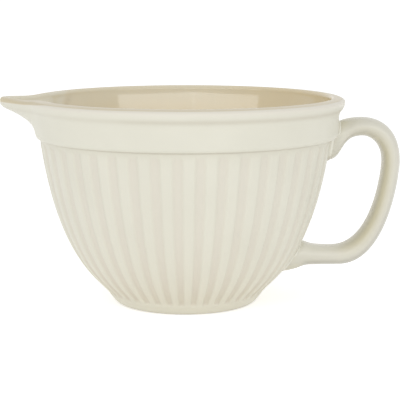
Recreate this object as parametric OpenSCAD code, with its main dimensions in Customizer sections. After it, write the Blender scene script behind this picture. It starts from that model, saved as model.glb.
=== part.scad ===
// Glazed stoneware batter bowl: fluted wall, plain collar, rolled rim, pouring spout and loop handle.
// Origin: centre of the foot on the table. +Z is up, the spout points to -X and the handle to +X.

/* [Bowl] */
// Outer diameter over the rolled rim
rim_d = 209.6; // [190:0.2:236]
// Height from the table to the rim's crest
bowl_h = 136.8; // [128:0.4:150]
// Thickness of the fired wall, with the inside glaze
wall_t = 5.5; // [4.5:0.1:6.5]
// Thickness of the floor, with the inside glaze
floor_t = 6; // [5:0.1:8]

/* [Foot] */
// Outer diameter of the foot above its rounded edge
foot_d = 97.4; // [90:0.2:106]
// How far the foot band flares before the fluted wall starts
foot_flare = 2.4; // [1:0.1:3.5]
// Height of the plain foot band
foot_band_h = 6; // [5:0.5:8]
// Radius of the foot's rounded outer edge
foot_round = 3.2; // [1.6:0.1:4]
// Width of the flat ring that the bowl rests on
foot_rest_w = 6; // [4:0.5:9]
// Height of the hollow under the foot
foot_hollow_h = 3; // [2:0.5:4]

/* [Collar and rim] */
// How far the collar's face stands inside the rim's outermost line
collar_inset = 3.8; // [3:0.1:4.6]
// Drop from the rim's crest to the crease under the collar
collar_drop = 26.8; // [24:0.4:32]
// Step from the collar's face in to the top of the fluted wall
collar_step = 5.7; // [4:0.1:7]
// Height of the rounded lower edge of the collar, with its crease
collar_edge_h = 9.6; // [8:0.2:12]
// Width of the rolled rim from its outermost line to its crest
roll_out = 7; // [6:0.1:8]
// Width of the rolled rim from its crest to the inside
roll_in = 2; // [1.5:0.1:3]
// Height of the rolled rim's crest above its outermost line
roll_h = 2.8; // [2.2:0.1:3.6]
// Height over which the rolled rim turns in below its outermost line
roll_under = 7.4; // [6:0.1:8.4]
// Height of the cove between the collar's face and the roll
cove_h = 5; // [4:0.1:6]

/* [Flutes] */
// Number of flutes round the wall, an even number keeps the spout on a rib
flute_count = 40; // [32:2:48]
// Depth of a flute
flute_deep = 1.1; // [0.5:0.1:1.6]
// Height over which a flute runs out into the foot band
flute_run_out = 3; // [2:0.5:5]
// Height over which a flute ends under the collar
flute_top_run = 2.4; // [1.5:0.1:4]

/* [Spout] */
// How far the spout's tip stands out from the rim
spout_reach = 17.6; // [10:0.2:24]
// Width of the spout where it leaves the rim
spout_w = 72; // [60:1:90]
// Height of the spout's root below the rim's crest
spout_drop = 25.8; // [22:0.2:26.4]
// Height of the blunt end of the lip
spout_nose_h = 4.8; // [3:0.2:6]
// How much lower the flanks of the spout's lip are than the rim
spout_dip = 0.8; // [0:0.1:2]
// Thickness of the lip at the spout's tip
spout_lip_t = 5; // [4:0.1:7]
// Thickness of the spout's floor, measured upright
spout_floor_t = 4.6; // [4:0.1:6]

/* [Handle] */
// Reach of the handle from the collar's face to its outermost line
handle_reach = 41.6; // [36:0.2:50]
// Height of the loop from the underside of its lower run to its top
handle_h = 98.8; // [93:0.4:105]
// Drop from the rim's crest to the top of the loop
handle_drop = 14.2; // [12:0.2:16]
// Thickness of the loop at its top
handle_top_t = 12.2; // [11:0.1:14]
// Thickness of the grip
grip_t = 11.6; // [10:0.1:14]
// Thickness of the lower run
handle_base_t = 12.7; // [11:0.1:15]
// Width of the grip
grip_w = 22.5; // [18:0.5:27]
// Width of the pads where the handle meets the bowl
pad_w = 27; // [23:0.5:31]
// Height of the upper pad
upper_pad_h = 26.8; // [24:0.4:29]
// Height of the lower pad
lower_pad_h = 23.6; // [21:0.4:26]
// Width of the slip bead round each pad
slip_w = 1.4; // [0.8:0.1:2]

/* [Glaze] */
// Thickness of the inside glaze
liner_t = 0.4; // [0.3:0.05:0.6]
// Angle on the roll where the inside glaze ends, counted from the outermost line
liner_edge_angle = 46; // [10:1:80]

/* [Hidden] */

cream = [0.89, 0.875, 0.825];
tan_glaze = [0.80, 0.74, 0.62];

// Clearance between the handle's pads, their slip and the wall
seat_gap = 0.15;
// Run of the slip bead up the side of a pad
slip_h = 1.4;
// Width of the sloping inner edge of the foot ring
foot_slope_w = 1.6;

// Places along the wall curve where a ring of points lies, from foot band to collar
wall_row_shares = [0, 0.05, 0.14, 0.26, 0.4, 0.52, 0.62, 0.72, 0.83, 0.94, 0.97, 1];
// Places along the wall curve where the inner wall has a ring, from the collar down, and where it has
// a ring of half the points, down to the floor
inner_row_shares = [0.88, 0.76, 0.62, 0.48];
lower_row_shares = [0.34, 0.22, 0.13];
// Arms of the wall curve, as shares of its width and height
wall_foot_arm_shares = [0.12, 0.101];
wall_top_arm_shares = [0.735, 0.185];
// Shape of the crease and the collar's lower edge: inset from the collar's face as a share of the
// step, and height as a share of the edge's height
collar_edge_shares = [[0.95, 0.19], [0.84, 0.36], [0.69, 0.43], [0.36, 0.51], [0.1, 0.68], [0, 1]];
// The crease's height as a share of the edge's height
crease_share = 0.43;
// Land, and each sloping side, as shares of a flute's pitch
land_share = 0.5;
slope_share = 0.12;
// Places of the rings on the collar's cove and face, on the inside's shoulder under the roll and on the floor
cove_row_shares = [0, 0.5];
face_row_share = 0.5;
shoulder_row_shares = [0.28, 0.62];
floor_row_shares = [0.4, 0.75];
// Angles on the rolled rim, counted from its outermost line: where the cove meets it, its crest, and
// where it turns down into the bowl
roll_start_angle = -40;
crest_angle = 90;
roll_end_angle = 180;
// Arms of the inside's shoulder under the roll, and of the floor's curve, as shares
shoulder_arm_share = 0.35;
floor_arm_shares = [0.12, 0.4];
// Arms of the cove's curve, as shares of its height
cove_arm_shares = [0.5, 0.25];
// Step between the points of the foot's rounded edge
foot_step_angle = 30;
// How sharply the spout's underside rises, and how much narrower its root is than its lip
spout_rise_power = 1.5;
spout_root_narrow_share = 0.3;
// How the spout narrows towards its tip: 1 is a plain wedge, and higher is hollower at its root
spout_taper_power = 1.5;
// Angle over which the spout's nose is rounded
nose_angle = 1.3;
// Part of the lip's thickness at the spout's tip that lies outside its crest
lip_out_share = 0.35;
// How closely the columns of points crowd in the spout
crowd_share = 0.6;
crowd_angle = 25;
// Arms of the handle's outlines, as shares of the distances that they span: from the upper pad to the
// loop's top, to its outermost point, to the start of the lower run, and to the lower pad
outer_arm_shares = [
    [[0.3, 0.46], [0.44, 0]],
    [[0.47, 0], [0, 0.75]],
    [[0, 0.12], [0.83, 0]],
    [[0.87, 0], [0.63, 0.95]]
];
inner_arm_shares = [
    [[0.48, 0], [0.7, 0]],
    [[0.43, 0], [0, 0.67]],
    [[0, 0.14], [0.83, 0]],
    [[0.88, 0], [0.3, 0.2]]
];
// Height of the handle's outermost point, as a share of the loop's height
handle_mid_share = 0.7;
// Where the loop's top lies, and where its lower run starts outside and inside, as shares of the reach
handle_crown_share = 0.39;
run_out_share = 0.035;
run_in_share = -0.064;
// Drop of the upper pad below the loop's top, and rise of the lower pad above the run, as shares of
// their heights
upper_pad_sink_share = 0.09;
lower_pad_rise_share = 0.148;
// Places of the upper pad's points below the collar's edge, as shares of the way to its lower end
under_collar_shares = [0.25, 0.5, 0.75, 1];
// Rows of the collar's edge that the upper pad's points follow
pad_edge_rows = [5, 4, 3, 1];
// How soon the loop widens to its pads: higher is nearer to the pads
widen_power = 5;
// Roundness of the handle's section: 2 is an oval, and higher is squarer
grip_power = 2.3;
// Places of the rings along each stretch of the handle
handle_row_shares = [
    [0, 0.35, 0.7, 1],
    [0.2, 0.4, 0.6, 0.8, 1],
    [0.16, 0.32, 0.46, 0.58, 0.69, 0.79, 0.89, 1],
    [0.3, 0.58, 0.8, 1]
];

// Derived sizes
rim_r = rim_d / 2;
foot_r = foot_d / 2;
collar_r = rim_r - collar_inset;
crease_z = bowl_h - collar_drop;
edge_z = crease_z - crease_share * collar_edge_h;
roll_c = [rim_r - roll_out, bowl_h - roll_h];
lip_out = lip_out_share * spout_lip_t;
floor_z = foot_hollow_h + floor_t;
pitch = 360 / flute_count;
plain_n = flute_count * 2;
wall_foot = [foot_r + foot_flare, foot_band_h];
wall_top = [collar_r - collar_step, edge_z];
wall_curve = [
    wall_foot,
    wall_foot + scaled(wall_top - wall_foot, wall_foot_arm_shares),
    wall_foot + scaled(wall_top - wall_foot, wall_top_arm_shares),
    wall_top
];
spout_half_angle = asin(spout_w / 2 / rim_r);
spout_root_z = bowl_h - spout_drop;
spout_full_z = bowl_h - spout_nose_h;

// Small functions
function scaled(a, b) = [a[0] * b[0], a[1] * b[1]];
function mix(a, b, s) = a + (b - a) * s;
function clamped(s) = min(1, max(0, s));
function eased(s) = let (c = clamped(s)) c * c * (3 - 2 * c);
// Point at s on a cubic curve with the four points p, and the curve's direction there
function cubic(p, s) = let (c = 1 - s)
    c * c * c * p[0] + 3 * s * c * c * p[1] + 3 * s * s * c * p[2] + s * s * s * p[3];
function cubic_slope(p, s) = let (c = 1 - s)
    c * c * (p[1] - p[0]) + 2 * s * c * (p[2] - p[1]) + s * s * (p[3] - p[2]);
function on_circle(r, z, angle) = [r * cos(angle), r * sin(angle), z];
// Angle from the spout's middle, from -180 to 180
function from_spout(angle) = (angle + 720) % 360 - 180;

// Faces between two rings of points that start at a and b; turned picks the other diagonal.
// A ring of one point closes the solid, and a ring of twice the points is stitched to the smaller.
function band(a, na, b, nb, turned) =
    na == 1 ? [for (i = [0:nb - 1]) [a, b + i, b + (i + 1) % nb]] :
    nb == 1 ? [for (i = [0:na - 1]) [a + i, b, a + (i + 1) % na]] :
    na == nb ? [for (i = [0:na - 1]) let (j = (i + 1) % na) each turned ?
        [[a + i, b + i, a + j], [a + j, b + i, b + j]] : [[a + i, b + i, b + j], [a + i, b + j, a + j]]] :
    na > nb ? [for (i = [0:nb - 1]) let (j = (i + 1) % nb, m = 2 * i + 1, e = (2 * i + 2) % na)
        each [[a + 2 * i, b + i, a + m], [a + m, b + i, b + j], [a + m, b + j, a + e]]] :
    [for (i = [0:na - 1]) let (j = (i + 1) % na, m = 2 * i + 1, e = (2 * i + 2) % nb)
        each [[a + i, b + 2 * i, b + m], [a + i, b + m, a + j], [a + j, b + m, b + e]]];
function starts(rings) = [for (i = 0, s = 0; i < len(rings); s = s + len(rings[i]), i = i + 1) s];
function lofted_faces(rings, turned_from) = let (s = starts(rings)) [for (i = [0:len(rings) - 2])
    each band(s[i], len(rings[i]), s[i + 1], len(rings[i + 1]), i >= turned_from)];
module lofted(rings, turned_from) {
    polyhedron([for (r = rings) each r], lofted_faces(rings, turned_from));
}

// Spout: how far it stands out at a height, across its width
function spout_rise(z, lift) = let (h = spout_full_z - spout_root_z - lift / 2)
    eased(pow(clamped((z - spout_root_z - lift) / h), spout_rise_power));
// Place across the spout, from 0 at its middle to 1 at its root, with a rounded nose
function nose_rounded(u) = sqrt(u * u + nose_angle * nose_angle) - nose_angle;
function spout_place(u, rise) = let (half = spout_half_angle * (1 - spout_root_narrow_share * (1 - rise)))
    min(1, nose_rounded(u) / nose_rounded(half));
function crowded(u, w) = u * (1 - crowd_share * w * exp(-pow(u / crowd_angle, 2)));

// A ring above the fluted wall, pulled out into the spout
function spout_ring(p, reach, lift) = let (rise = spout_rise(p[1], lift),
    w = eased((p[1] - edge_z) / (spout_drop / 2))) [for (i = [0:plain_n - 1])
        let (u = crowded(from_spout(pitch * i / 2), w), place = spout_place(u, rise))
        on_circle(p[0] + reach * rise * pow(1 - place, spout_taper_power),
            p[1] - spout_dip * rise * pow(sin(180 * place), 2), 180 + u)];
function plain_ring(p, n) = [for (i = [0:n - 1]) on_circle(p[0], p[1], 360 * i / n)];

// Fluted wall
half_land = land_share / 2;
flute_spots = [-half_land, half_land, half_land + slope_share, 1 - half_land - slope_share];
function flute_window(z) =
    eased((z - foot_band_h) / flute_run_out) * eased((collar_edge[0][1] - z) / flute_top_run);
// Flutes stop under the pads, which need a sound seat
function under_pad(angle, z) = let (u = abs(180 - abs(from_spout(angle))))
    u > pitch ? 0 : max(pad_here(z, upper_pad_z, upper_pad_h), pad_here(z, lower_pad_z, lower_pad_h));
function pad_here(z, mid, h) = eased((h / 2 + 2 * slip_w - abs(z - mid)) / slip_w);
function flute_ring(s) = let (p = cubic(wall_curve, s))
    [for (j = [0:flute_count * 4 - 1])
        let (angle = pitch * (floor(j / 4) + flute_spots[j % 4]), floor_here = j % 4 > 1 ? 1 : 0,
            deep = flute_deep * floor_here * flute_window(p[1]) * (1 - under_pad(angle, p[1])))
        on_circle(p[0] - deep, p[1], angle)];

// Outline of the inside at a depth below the glaze's surface
function roll_point(angle, depth) = roll_c + [((cos(angle) > 0 ? roll_out : roll_in) - depth) * cos(angle),
    ((sin(angle) < 0 ? roll_under : roll_h) - depth) * sin(angle)];
function wall_inside(s, depth) = let (d = cubic_slope(wall_curve, s))
    cubic(wall_curve, s) + (wall_t - depth) * [-d[1], d[0]] / norm(d);
function shoulder_curve(depth) = let (a = roll_point(roll_end_angle, depth),
    d = wall_inside(inner_row_shares[0], depth))
    [a, [a[0], mix(a[1], d[1], shoulder_arm_share)], mix(d, a, shoulder_arm_share), d];
function floor_curve(depth) = let (a = wall_inside(lower_row_shares[len(lower_row_shares) - 1], depth),
    d = [0, floor_z - depth]) [a, [(1 - floor_arm_shares[0]) * a[0], d[1]],
        [(1 - floor_arm_shares[1]) * a[0], d[1]], d];
// How far a point of the roll moves out to the spout's tip, where the lip is thinner than the roll
function lip_reach(angle) = angle < 0 ? spout_reach :
    spout_reach + roll_out - lip_out
        - (cos(angle) > 0 ? roll_out - lip_out : roll_in - spout_lip_t + lip_out) * cos(angle);
function lip_share(angle) = eased((angle - crest_angle) / (roll_end_angle - crest_angle));
roll_outer_angles = [roll_start_angle, roll_start_angle / 2, 0, liner_edge_angle];
roll_inner_angles = [liner_edge_angle, (liner_edge_angle + crest_angle) / 2, crest_angle,
    (crest_angle + roll_end_angle) / 2, roll_end_angle];
function inside_rings(depth) = concat(
    [for (a = roll_inner_angles) spout_ring(roll_point(a, depth), lip_reach(a),
        spout_floor_t * lip_share(a))],
    [for (s = shoulder_row_shares) spout_ring(cubic(shoulder_curve(depth), s), lip_reach(roll_end_angle),
        spout_floor_t)],
    [for (s = inner_row_shares) plain_ring(wall_inside(s, depth), plain_n)],
    [for (s = lower_row_shares) plain_ring(wall_inside(s, depth), flute_count)],
    [for (s = floor_row_shares) plain_ring(cubic(floor_curve(depth), s), flute_count)],
    [[[0, 0, floor_z - depth]]]
);

// Outline of the outside, from the foot's hollow to the glaze's edge on the roll
rest_out = foot_r - foot_round;
rest_in = rest_out - foot_rest_w;
foot_outline = [
    [rest_in - foot_slope_w, foot_hollow_h],
    [rest_in, 0],
    for (a = [0:foot_step_angle:90]) [rest_out + foot_round * sin(a), foot_round * (1 - cos(a))]
];
collar_edge = [for (c = collar_edge_shares) [collar_r - c[0] * collar_step, edge_z + c[1] * collar_edge_h]];
roll_start = roll_point(roll_start_angle, 0);
cove_curve = [
    [collar_r, roll_start[1] - cove_h],
    [collar_r, roll_start[1] - (1 - cove_arm_shares[0]) * cove_h],
    roll_start + cove_arm_shares[1] * cove_h * [sin(roll_start_angle), -cos(roll_start_angle)],
    roll_start
];
face_z = edge_z + collar_edge_h;
cove_rows = [for (s = cove_row_shares) cubic(cove_curve, s)];
face_row = [collar_r, mix(face_z, cove_curve[0][1], face_row_share)];

module bowl_body() {
    inner = inside_rings(liner_t);
    outer = concat(
        [[[0, 0, foot_hollow_h]]],
        [for (p = foot_outline) plain_ring(p, plain_n)],
        [for (s = wall_row_shares) flute_ring(s)],
        [for (p = concat(collar_edge, [face_row], cove_rows)) spout_ring(p, spout_reach, 0)],
        [for (a = roll_outer_angles) spout_ring(roll_point(a, 0), lip_reach(a), 0)]
    );
    color(cream) lofted(concat(outer, inner), len(outer));
}

module liner_glaze() {
    under = inside_rings(liner_t);
    top = inside_rings(0);
    n = len(under);
    color(tan_glaze) lofted(concat([for (i = [0:n - 1]) under[n - 1 - i]], top), n);
}

// Seat of the pads: the radius of the outside at a height, with a clearance
seat_table = concat(
    [for (s = wall_row_shares) let (p = cubic(wall_curve, s)) [p[1], p[0]]],
    [for (p = concat(collar_edge, [cove_curve[0]])) [p[1], p[0]]]
);
function seat_r(z, gap) = max([for (d = [-gap, 0, gap]) lookup(z + d, seat_table)]) + gap;
function on_seat(y, z, gap) = [sqrt(pow(seat_r(z, gap), 2) - y * y), y, z];

// Handle outlines in the XZ plane, outer and inner, from the upper pad to the lower one
top_z = bowl_h - handle_drop;
base_z = top_z - handle_h;
mid_z = base_z + handle_mid_share * handle_h;
upper_pad_z = top_z - upper_pad_sink_share * upper_pad_h - upper_pad_h / 2;
lower_pad_top_z = base_z + handle_base_t + lower_pad_rise_share * lower_pad_h;
lower_pad_z = lower_pad_top_z - lower_pad_h / 2;
crown_x = collar_r + handle_crown_share * handle_reach;
out_x = collar_r + handle_reach;
function pad_point(z) = let (p = on_seat(0, z, seat_gap)) [p[0], p[2]];
function arm(a, b, sa, sb) = [a, [mix(a[0], b[0], sa[0]), mix(a[1], b[1], sa[1])],
    [mix(b[0], a[0], sb[0]), mix(b[1], a[1], sb[1])], b];
function loop_line(places, shares) = [for (k = [0:3])
    arm(places[k], places[k + 1], shares[k][0], shares[k][1])];
outer_line = loop_line([
    pad_point(upper_pad_z + upper_pad_h / 2),
    [crown_x, top_z],
    [out_x, mid_z],
    [collar_r + run_out_share * handle_reach, base_z],
    pad_point(lower_pad_z - lower_pad_h / 2)
], outer_arm_shares);
inner_line = loop_line([
    pad_point(upper_pad_z - upper_pad_h / 2),
    [crown_x, top_z - handle_top_t],
    [out_x - grip_t, mid_z],
    [collar_r + run_in_share * handle_reach, base_z + handle_base_t],
    pad_point(lower_pad_top_z)
], inner_arm_shares);

// Heights of the points round the upper pad follow the collar's edge, so that the pad fits into the crease
pad_rows = 10;
function section_angle(k) = 180 * k / pad_rows;
function unit_y(k) = pow(abs(sin(section_angle(k))), 2 / grip_power);
function unit_x(k) = let (c = cos(section_angle(k))) sign(c) * pow(abs(c), 2 / grip_power);
upper_heights = let (top = upper_pad_z + upper_pad_h / 2, low = upper_pad_z - upper_pad_h / 2)
    concat([top, (top + face_z) / 2], [for (i = pad_edge_rows) collar_edge[i][1]], [edge_z],
    [for (s = under_collar_shares) mix(edge_z, low, s)]);
lower_heights = [for (k = [0:pad_rows]) lower_pad_z - lower_pad_h / 2 * unit_x(k)];
function pad_y(z, mid, h) = let (rest = max(0, 1 - pow(abs(z - mid) / (h / 2), grip_power)))
    pad_w / 2 * pow(rest, 1 / grip_power);
function round_pad(half) = concat([for (k = [0:pad_rows]) [half[k][0], -half[k][1], half[k][2]]],
    [for (k = [pad_rows - 1:-1:1]) half[k]]);
function pad_half(heights, mid, h, gap) = [for (z = heights) on_seat(pad_y(z, mid, h), z, gap)];

// Width along the loop: s runs from one pad to the other
function loop_width(s) = grip_w + (pad_w - grip_w) * pow(abs(2 * s - 1), widen_power);
function loop_ring(o, i, w) = let (c = (o + i) / 2, h = (o - i) / 2)
    round_pad([for (k = [0:pad_rows]) [c[0] + h[0] * unit_x(k), w / 2 * unit_y(k), c[1] + h[1] * unit_x(k)]]);
stations = [for (seg = [0:3]) each [for (s = handle_row_shares[seg]) [seg, s]]];
station_n = len(stations);
handle_rings = [for (m = [0:station_n - 1]) let (seg = stations[m][0], s = stations[m][1])
    m == 0 ? round_pad(pad_half(upper_heights, upper_pad_z, upper_pad_h, seat_gap)) :
    m == station_n - 1 ? round_pad(pad_half(lower_heights, lower_pad_z, lower_pad_h, seat_gap)) :
    loop_ring(cubic(outer_line[seg], s), cubic(inner_line[seg], s), loop_width((seg + s) / 4))];

// Back of a pad: three points across each row, between the two sides of the end ring
cap_places = [-0.5, 0, 0.5];
function cap_points(heights, mid, h) = [for (k = [1:pad_rows - 1]) each
    [for (c = cap_places) on_seat(c * pad_y(heights[k], mid, h), heights[k], seat_gap)]];
// Index of a point in a cap's grid: column 0 and 4 lie on the end ring, which starts at ring
function cap_index(ring, inner, k, c) =
    k == 0 || k == pad_rows ? ring + k :
    c == 0 ? ring + k :
    c == 4 ? ring + 2 * pad_rows - k :
    inner + (k - 1) * 3 + c - 1;
function cap_faces(ring, inner, flip) = [for (k = [0:pad_rows - 1]) for (c = [0:3])
    let (p = cap_index(ring, inner, k, c), q = cap_index(ring, inner, k, c + 1),
        r = cap_index(ring, inner, k + 1, c + 1), t = cap_index(ring, inner, k + 1, c))
    each [if (p != q) turned_face([q, p, t], flip), if (r != t) turned_face([q, t, r], flip)]];
function turned_face(f, flip) = flip ? [f[2], f[1], f[0]] : f;

module handle() {
    n = 2 * pad_rows;
    last = (station_n - 1) * n;
    caps = [
        cap_points(upper_heights, upper_pad_z, upper_pad_h),
        cap_points(lower_heights, lower_pad_z, lower_pad_h)
    ];
    points = concat([for (r = handle_rings) each r], caps[0], caps[1]);
    faces = concat(
        [for (m = [0:station_n - 2]) each band(m * n, n, (m + 1) * n, n, false)],
        cap_faces(0, station_n * n, false),
        cap_faces(last, station_n * n + len(caps[0]), true)
    );
    color(cream) polyhedron(points, faces);
}

// Bead of slip round a pad, with a three-sided section: corner, wall and side of the pad
function bead_out(p, mid, h) = let (d = [p[1] / pow(pad_w, 2), (p[2] - mid) / pow(h, 2)]) d / norm(d);
function bead_rings(ring, next, mid, h) = let (n = len(ring)) [for (i = [0:n - 1])
    let (p = ring[i], d = bead_out(p, mid, h), side = (next[i] - p) / norm(next[i] - p),
        c = on_seat(p[1] + seat_gap / 2 * d[0], p[2] + seat_gap / 2 * d[1], seat_gap),
        w = on_seat(p[1] + slip_w * d[0], p[2] + slip_w * d[1], seat_gap / 2))
    [c, w, c + slip_h * side + seat_gap / 2 * [0, d[0], d[1]]]];
module bead(ring, next, mid, h, flip) {
    rings = bead_rings(ring, next, mid, h);
    n = len(rings);
    faces = [for (i = [0:n - 1]) each band(i * 3, 3, ((i + 1) % n) * 3, 3, false)];
    polyhedron([for (r = rings) each r], [for (f = faces) turned_face(f, flip)]);
}
module handle_slip() {
    color(cream) {
        bead(handle_rings[0], handle_rings[1], upper_pad_z, upper_pad_h, true);
        bead(handle_rings[station_n - 1], handle_rings[station_n - 2], lower_pad_z, lower_pad_h, false);
    }
}

bowl_body();
liner_glaze();
handle();
handle_slip();
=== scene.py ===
"""Looks of a glazed stoneware batter bowl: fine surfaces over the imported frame, glazes and a studio."""

import math

import bpy
import numpy as np
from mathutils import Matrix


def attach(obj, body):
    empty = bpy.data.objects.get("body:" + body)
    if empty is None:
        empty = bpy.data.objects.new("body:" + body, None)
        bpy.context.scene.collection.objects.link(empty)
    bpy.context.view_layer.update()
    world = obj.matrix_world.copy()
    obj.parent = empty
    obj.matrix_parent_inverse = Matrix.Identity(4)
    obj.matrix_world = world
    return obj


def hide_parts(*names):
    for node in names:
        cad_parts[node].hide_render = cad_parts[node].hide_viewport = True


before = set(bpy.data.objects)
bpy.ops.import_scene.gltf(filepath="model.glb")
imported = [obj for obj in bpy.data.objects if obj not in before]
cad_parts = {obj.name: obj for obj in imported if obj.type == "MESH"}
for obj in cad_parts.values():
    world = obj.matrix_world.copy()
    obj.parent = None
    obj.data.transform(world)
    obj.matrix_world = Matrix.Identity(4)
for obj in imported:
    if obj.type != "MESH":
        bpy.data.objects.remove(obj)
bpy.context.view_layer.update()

MM = 0.001

# Sizes of the bowl, as in the part's source
RIM_R = 104.8 * MM
BOWL_H = 136.8 * MM
WALL_T = 5.5 * MM
FLOOR_T = 6.0 * MM
FOOT_R = 48.7 * MM
FOOT_FLARE = 2.4 * MM
FOOT_BAND_H = 6.0 * MM
FOOT_HOLLOW_H = 3.0 * MM
FOOT_SLOPE_W = 1.6 * MM
COLLAR_INSET = 3.8 * MM
COLLAR_STEP = 5.7 * MM
COVE_H = 5.0 * MM
ROLL_OUT = 7.0 * MM
ROLL_IN = 2.0 * MM
ROLL_H = 2.8 * MM
ROLL_UNDER = 7.4 * MM
FLUTE_DEEP = 1.1 * MM
FLUTE_RUN_OUT = 3.0 * MM
SPOUT_W = 72.0 * MM
SPOUT_NOSE_H = 4.8 * MM
SPOUT_DIP = 0.8 * MM
SPOUT_LIP_T = 5.0 * MM
SPOUT_FLOOR_T = 4.6 * MM
HANDLE_REACH = 41.6 * MM
HANDLE_H = 98.8 * MM
HANDLE_DROP = 14.2 * MM
HANDLE_TOP_T = 12.2 * MM
GRIP_T = 11.6 * MM
HANDLE_BASE_T = 12.7 * MM
GRIP_W = 22.5 * MM
PAD_W = 27.0 * MM
UPPER_PAD_H = 26.8 * MM
SLIP_W = 1.4 * MM
LINER_T = 0.4 * MM
GLAZE_EDGE = math.radians(46)

# Shares and angles of its forms, as in the part's source
WALL_ARMS = ((0.12, 0.101), (0.735, 0.185))
COVE_ARMS = (0.5, 0.25)
SHOULDER_ARM = 0.35
FLOOR_ARMS = (0.88, 0.6)
INSIDE_WALL_SHARES = (0.88, 0.13)
ROLL_START = math.radians(-40)
SPOUT_RISE_POWER = 1.5
SPOUT_ROOT_NARROW = 0.3
SPOUT_TAPER_POWER = 1.5
NOSE_ANGLE = math.radians(1.3)
LIP_OUT_SHARE = 0.35
CROWD_SHARE = 0.6
CROWD_ANGLE = math.radians(25)
HANDLE_MID_SHARE = 0.7
CROWN_SHARE = 0.39
RUN_SHARES = (0.035, -0.064)
UPPER_PAD_SINK_SHARE = 0.09
LOWER_PAD_RISE_SHARE = 0.148
GRIP_POWER = 2.3

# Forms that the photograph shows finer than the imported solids
FOOT_ROUND = 5.1 * MM
FOOT_REST_W = 4.1 * MM
FOOT_SIDE_ARM = 3.4 * MM
FOOT_TOP_ARM = np.array([2.7, 3.4]) * MM
FOOT_HOLLOW_ROUND = 1.2 * MM
FOOT_REST_ROUND = 0.6 * MM
COLLAR_DROP = 26.2 * MM
COLLAR_EDGE_R = 3.4 * MM
CREASE_IN = 0.4 * MM
CREASE_R = 1.7 * MM
WALL_DROP = 30.9 * MM
SHOULDER_TURN_H = 4.0 * MM
FLUTE_COUNT = 43
FLUTE_TURN_SHARE = 0.24
FLUTE_DROP = 28.9 * MM
FLUTE_HALF_SHARE = 0.225
FLUTE_SLOPE_SHARE = 0.15
SPOUT_REACH = 16.9 * MM
SPOUT_DROP = 24.4 * MM
PINCH = 2.5 * MM
PINCH_H = 15.0 * MM
PINCH_ANGLE = math.radians(25)
LOWER_PAD_H = 21.6 * MM

# Arms of the handle's four curves from pad to pad, as shares of each curve's span in X and Z
OUTER_ARMS = (
    ((0.3, 0.46), (0.44, 0)),
    ((0.47, 0), (0, 0.75)),
    ((0, 0.12), (0.83, 0)),
    ((0.87, 0), (0.63, 0.95)),
)
INNER_ARMS = (
    ((0.48, 0), (0.7, 0)),
    ((0.43, 0), (0, 0.67)),
    ((0, 0.14), (0.83, 0)),
    ((0.88, 0), (0.3, 0.2)),
)

# How the handle and its slip lie on the bowl. The flutes end round a pad between the cover's two
# shares of the pad's size.
PAD_FLARE = 7.0 * MM
PAD_BLEND = 9.0 * MM
PAD_BED = 0.3 * MM
PAD_MARGIN = 2.0 * MM
PAD_COVER_SHARES = (1.16, 1.02)
HANDLE_END_IN = 2.0 * MM
SLIP_BULGE = 0.85
SLIP_ON_WALL = 0.75 * SLIP_W
SLIP_ON_PAD = 1.1 * SLIP_W
SLIP_BED = 0.02 * MM
SLIP_BACK = 1.0 * MM

# Places that follow from the sizes
COLLAR_R = RIM_R - COLLAR_INSET
COLLAR_UNDER_Z = BOWL_H - COLLAR_DROP
COLLAR_FACE_Z = COLLAR_UNDER_Z + 10.0 * MM
WALL_TOP = np.array([COLLAR_R - COLLAR_STEP, BOWL_H - WALL_DROP])
WALL_FOOT = np.array([FOOT_R + FOOT_FLARE, FOOT_BAND_H])
FLOOR_Z = FOOT_HOLLOW_H + FLOOR_T
ROLL_C = np.array([RIM_R - ROLL_OUT, BOWL_H - ROLL_H])
PITCH = 2 * math.pi / FLUTE_COUNT
FLUTE_TOP_Z = BOWL_H - FLUTE_DROP
SPOUT_HALF_ANGLE = math.asin(SPOUT_W / 2 / RIM_R)
SPOUT_ROOT_Z = BOWL_H - SPOUT_DROP
SPOUT_FULL_Z = BOWL_H - SPOUT_NOSE_H
LIP_OUT = LIP_OUT_SHARE * SPOUT_LIP_T

# Mesh density: columns round the bowl, and points on each stretch of an outline. The wall has closer
# rows in its lowest share, where the flutes run out.
OUTER_COLUMNS = FLUTE_COUNT * 16
INNER_COLUMNS = OUTER_COLUMNS // 2
FOOT_HOLLOW_SHARES = (0.2, 0.6)
FOOT_HOLLOW_STEPS = 5
FOOT_REST_STEPS = 4
FOOT_SIDE_STEPS = 16
WALL_LOW_SHARE = 0.12
WALL_LOW_STEPS = 12
WALL_STEPS = 66
CREASE_STEPS = 8
COLLAR_EDGE_STEPS = 12
COLLAR_FACE_STEPS = 12
COVE_STEPS = 14
ROLL_STEPS = 30
INSIDE_ROLL_STEPS = 26
SHOULDER_STEPS = 14
INSIDE_WALL_STEPS = 34
FLOOR_STEPS = 12
OUTLINE_STEPS = 200
HANDLE_SIDES = 72
HANDLE_STEPS = (26, 34, 52, 30)
PAD_RINGS = 20
SLIP_STEPS = 8
SHARP_ANGLE = math.radians(50)

# Glaze colours
CREAM = (0.78, 0.763, 0.657)
CREAM_PALE = (0.805, 0.788, 0.682)
# Pale cream of thin glaze on the slip's ridge, with a painted highlight there too, and painted light on
# the handle's lower run
CREAM_THIN_AND_LIT = (0.90, 0.885, 0.79)
# Painted highlight: the rim roll's top is painted a lighter, warmer cream
CREAM_ROLL_HIGHLIGHT = (0.815, 0.778, 0.682)
CREAM_LOW = (0.825, 0.775, 0.635)
CREAM_THICK = (0.745, 0.69, 0.602)
CREAM_SETTLED = (0.73, 0.68, 0.53)
CREAM_HANDLE = (0.745, 0.72, 0.63)
# Dark cream of glaze pooled in the crease under the collar and under the pads' ends, with painted shade
# there too, and painted shade in the cove under the roll
CREAM_POOLED_AND_SHADED = (0.60, 0.55, 0.45)
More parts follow.
